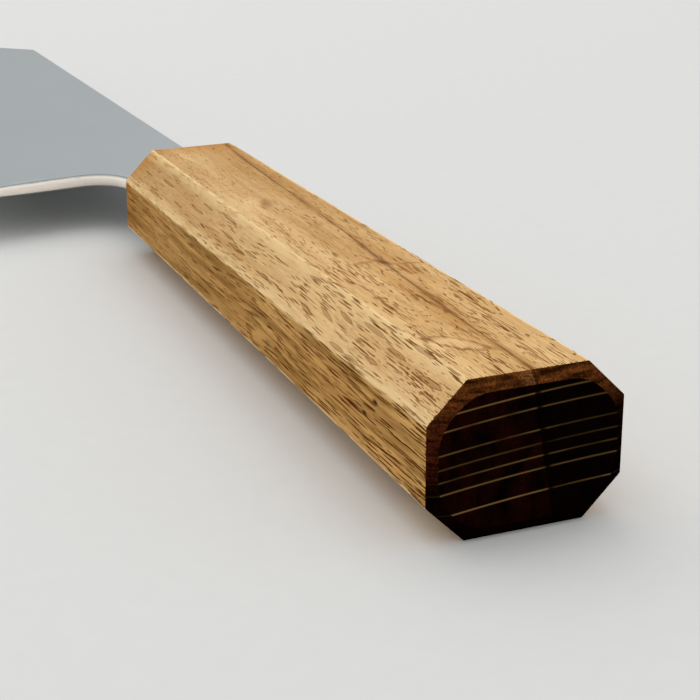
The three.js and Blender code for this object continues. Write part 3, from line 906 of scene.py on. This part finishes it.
class KNIFE_OT_resin(bpy.types.Operator):
    """Make the resin that fills the slot round the tang, swollen until it meets wood and steel"""

    bl_idname = "knife.make_resin"
    bl_label = "Make resin"

    def execute(self, context):
        looks = context.scene.knife_resin
        shape = shape_of("tang_resin")
        moves = [(vert, vert.normal * looks.bond * vert.calc_shell_factor()) for vert in shape.verts]
        for vert, move in moves:
            vert.co += move
        shape.normal_update()
        materials = [cast_epoxy(looks)]
        make_piece(shape, "epoxy_bed", "tang_resin", materials, STEEL_SHARP_ANGLE)
        return {"FINISHED"}


class KNIFE_OT_stage(bpy.types.Operator):
    """Lay the floor and set the light and the camera"""

    bl_idname = "knife.make_stage"
    bl_label = "Make stage"

    def execute(self, context):
        looks = context.scene.knife_stage
        self.lay_floor(context, looks)
        self.set_room(context, looks)
        self.set_key(context, looks)
        self.set_camera(context, looks)
        context.scene.view_settings.view_transform = "Standard"
        return {"FINISHED"}

    def lay_floor(self, context, looks):
        """A wide sheet of paper under the knife."""
        shape = bmesh.new()
        bmesh.ops.create_grid(shape, x_segments=1, y_segments=1, size=FLOOR_HALF_WIDTH)
        mesh = bpy.data.meshes.new("floor")
        shape.to_mesh(mesh)
        shape.free()
        mesh.materials.append(seamless_paper(looks))
        floor = bpy.data.objects.new("floor", mesh)
        context.scene.collection.objects.link(floor)

    def set_room(self, context, looks):
        """Soft light from all round, dimmer on the handle's left."""
        world = bpy.data.worlds.new("room")
        world.use_nodes = True
        tree = world.node_tree
        tree.nodes.clear()
        towards = node(tree, "TexCoord", out="Generated")
        side = node(tree, "VectorMath", {0: towards, 1: looks.bright_side}, out="Value",
                    operation="DOT_PRODUCT")
        strength = node(tree, "MapRange", {
            "Value": side, "From Min": -1.0, "To Min": looks.room_dim, "To Max": looks.room_bright})
        light = node(tree, "Background", {"Color": looks.sky, "Strength": strength})
        node(tree, "OutputWorld", {"Surface": light}, out=None)
        context.scene.world = world

    def set_key(self, context, looks):
        """One large soft box high up beyond the tip, turned to the frame's origin."""
        lamp = bpy.data.lights.new("soft_box", "AREA")
        lamp.energy = looks.key_power
        lamp.size = looks.key_size
        key = bpy.data.objects.new("soft_box", lamp)
        key.location = looks.key_place
        key.rotation_euler = (-Vector(looks.key_place)).to_track_quat("-Z", "Y").to_euler()
        context.scene.collection.objects.link(key)

    def set_camera(self, context, looks):
        """The camera behind the butt, looking down the handle."""
        lens = bpy.data.cameras.new("camera")
        lens.lens = looks.focal_length
        lens.clip_start = CAMERA_NEAR
        camera = bpy.data.objects.new("camera", lens)
        camera.location = looks.camera_place
        down = math.pi / 2 - looks.camera_elevation
        turn = -math.pi / 2 - looks.camera_azimuth
        camera.rotation_euler = (down, 0, turn)
        context.scene.collection.objects.link(camera)
        context.scene.camera = camera


class KNIFE_PT_looks(bpy.types.Panel):
    """Sidebar panel that lists the pieces and their settings"""

    bl_label = "Bunka knife"
    bl_space_type = "VIEW_3D"
    bl_region_type = "UI"
    bl_category = "Knife"

    def draw(self, context):
        for name, (looks, maker) in PIECES.items():
            box = self.layout.box()
            box.operator(maker.bl_idname)
            for setting in looks.__annotations__:
                box.prop(getattr(context.scene, name), setting)


PIECES = {
    "knife_blade": (BladeLooks, KNIFE_OT_blade),
    "knife_handle": (HandleLooks, KNIFE_OT_handle),
    "knife_resin": (ResinLooks, KNIFE_OT_resin),
    "knife_stage": (StageLooks, KNIFE_OT_stage),
}


def register():
    """Add the settings, operators and panel to Blender."""
    for name, (looks, maker) in PIECES.items():
        bpy.utils.register_class(looks)
        bpy.utils.register_class(maker)
        setattr(bpy.types.Scene, name, bpy.props.PointerProperty(type=looks))
    bpy.utils.register_class(KNIFE_PT_looks)


def unregister():
    """Take them out again, last one first."""
    bpy.utils.unregister_class(KNIFE_PT_looks)
    for name, (looks, maker) in reversed(PIECES.items()):
        delattr(bpy.types.Scene, name)
        bpy.utils.unregister_class(maker)
        bpy.utils.unregister_class(looks)


def main():
    """Make the stage and every piece."""
    register()
    bpy.ops.knife.make_stage()
    bpy.ops.knife.make_blade()
    bpy.ops.knife.make_handle()
    bpy.ops.knife.make_resin()


if __name__ == "__main__":
    main()
